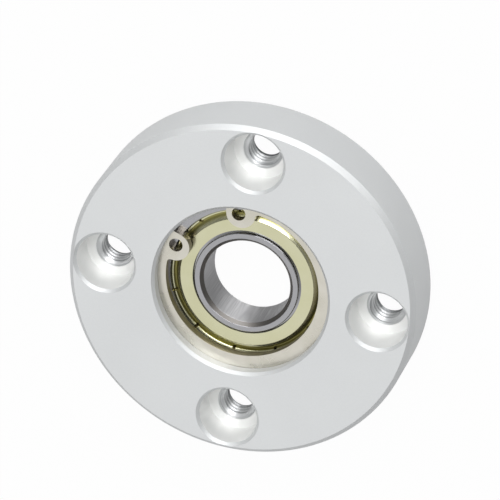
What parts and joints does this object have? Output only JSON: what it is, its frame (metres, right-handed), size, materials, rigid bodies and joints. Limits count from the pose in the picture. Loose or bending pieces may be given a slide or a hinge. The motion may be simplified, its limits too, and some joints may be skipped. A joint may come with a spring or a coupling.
{
  "type": "bearing housing",
  "caption": "Round flanged housing with a shielded ball bearing in its stepped bore, held by an internal retaining ring, with counterbored tapped screw holes and a rear pilot.",
  "frame": {"origin": "on the bearing axis, in the plane of the mounting face", "axes": "+Z along the bearing axis, out of the front face; the screw holes lie on the X and Y axes"},
  "size_m": [0.048, 0.048, 0.011],
  "materials": {
    "anodised_aluminium": "clear matte anodised",
    "ring_steel": "bright nickel-plated spring steel",
    "race_steel": "ground bearing steel",
    "shield_steel": "yellow zinc-passivated pressed sheet",
    "cage_steel": "pressed strip",
    "ball_steel": "polished"
  },
  "bodies": {
    "housing_assembly": {"housing": "anodised_aluminium", "retaining_ring": "ring_steel", "outer_ring": "race_steel", "front_shield": "shield_steel", "rear_shield": "shield_steel"},
    "inner_ring": {"inner_ring": "race_steel"},
    "cage": {"cage_front": "cage_steel", "cage_rear": "cage_steel", "cage_rivet_1": "cage_steel", "cage_rivet_2": "cage_steel", "cage_rivet_3": "cage_steel", "cage_rivet_4": "cage_steel", "cage_rivet_5": "cage_steel", "cage_rivet_6": "cage_steel", "cage_rivet_7": "cage_steel", "cage_rivet_8": "cage_steel", "cage_rivet_9": "cage_steel", "cage_rivet_10": "cage_steel"},
    "ball_1": {"ball_1": "ball_steel"},
    "ball_2": {"ball_2": "ball_steel"},
    "ball_3": {"ball_3": "ball_steel"},
    "ball_4": {"ball_4": "ball_steel"},
    "ball_5": {"ball_5": "ball_steel"},
    "ball_6": {"ball_6": "ball_steel"},
    "ball_7": {"ball_7": "ball_steel"},
    "ball_8": {"ball_8": "ball_steel"},
    "ball_9": {"ball_9": "ball_steel"},
    "ball_10": {"ball_10": "ball_steel"}
  },
  "joints": [
    {"name": "inner_ring_spin", "type": "hinge", "parent": "housing_assembly", "child": "inner_ring", "pos_m": [0, 0, 0.0031], "axis": [0, 0, 1], "continuous": true},
    {"name": "cage_orbit", "type": "hinge", "parent": "housing_assembly", "child": "cage", "pos_m": [0, 0, 0.0031], "axis": [0, 0, 1], "continuous": true},
    {"name": "ball_1_spin", "type": "hinge", "parent": "cage", "child": "ball_1", "pos_m": [0.00728, 0.00529, 0.0031], "axis": [0, 0, 1], "continuous": true},
    {"name": "ball_2_spin", "type": "hinge", "parent": "cage", "child": "ball_2", "pos_m": [0.00278, 0.00856, 0.0031], "axis": [0, 0, 1], "continuous": true},
    {"name": "ball_3_spin", "type": "hinge", "parent": "cage", "child": "ball_3", "pos_m": [-0.00278, 0.00856, 0.0031], "axis": [0, 0, 1], "continuous": true},
    {"name": "ball_4_spin", "type": "hinge", "parent": "cage", "child": "ball_4", "pos_m": [-0.00728, 0.00529, 0.0031], "axis": [0, 0, 1], "continuous": true},
    {"name": "ball_5_spin", "type": "hinge", "parent": "cage", "child": "ball_5", "pos_m": [-0.009, 0, 0.0031], "axis": [0, 0, 1], "continuous": true},
    {"name": "ball_6_spin", "type": "hinge", "parent": "cage", "child": "ball_6", "pos_m": [-0.00728, -0.00529, 0.0031], "axis": [0, 0, 1], "continuous": true},
    {"name": "ball_7_spin", "type": "hinge", "parent": "cage", "child": "ball_7", "pos_m": [-0.00278, -0.00856, 0.0031], "axis": [0, 0, 1], "continuous": true},
    {"name": "ball_8_spin", "type": "hinge", "parent": "cage", "child": "ball_8", "pos_m": [0.00278, -0.00856, 0.0031], "axis": [0, 0, 1], "continuous": true},
    {"name": "ball_9_spin", "type": "hinge", "parent": "cage", "child": "ball_9", "pos_m": [0.00728, -0.00529, 0.0031], "axis": [0, 0, 1], "continuous": true},
    {"name": "ball_10_spin", "type": "hinge", "parent": "cage", "child": "ball_10", "pos_m": [0.009, 0, 0.0031], "axis": [0, 0, 1], "continuous": true}
  ],
  "couplings": [
    {"joint": "cage_orbit", "follows": "inner_ring_spin", "ratio": 0.41167},
    {"joint": "ball_1_spin", "follows": "inner_ring_spin", "ratio": -2.7419},
    {"joint": "ball_2_spin", "follows": "inner_ring_spin", "ratio": -2.7419},
    {"joint": "ball_3_spin", "follows": "inner_ring_spin", "ratio": -2.7419},
    {"joint": "ball_4_spin", "follows": "inner_ring_spin", "ratio": -2.7419},
    {"joint": "ball_5_spin", "follows": "inner_ring_spin", "ratio": -2.7419},
    {"joint": "ball_6_spin", "follows": "inner_ring_spin", "ratio": -2.7419},
    {"joint": "ball_7_spin", "follows": "inner_ring_spin", "ratio": -2.7419},
    {"joint": "ball_8_spin", "follows": "inner_ring_spin", "ratio": -2.7419},
    {"joint": "ball_9_spin", "follows": "inner_ring_spin", "ratio": -2.7419},
    {"joint": "ball_10_spin", "follows": "inner_ring_spin", "ratio": -2.7419}
  ]
}
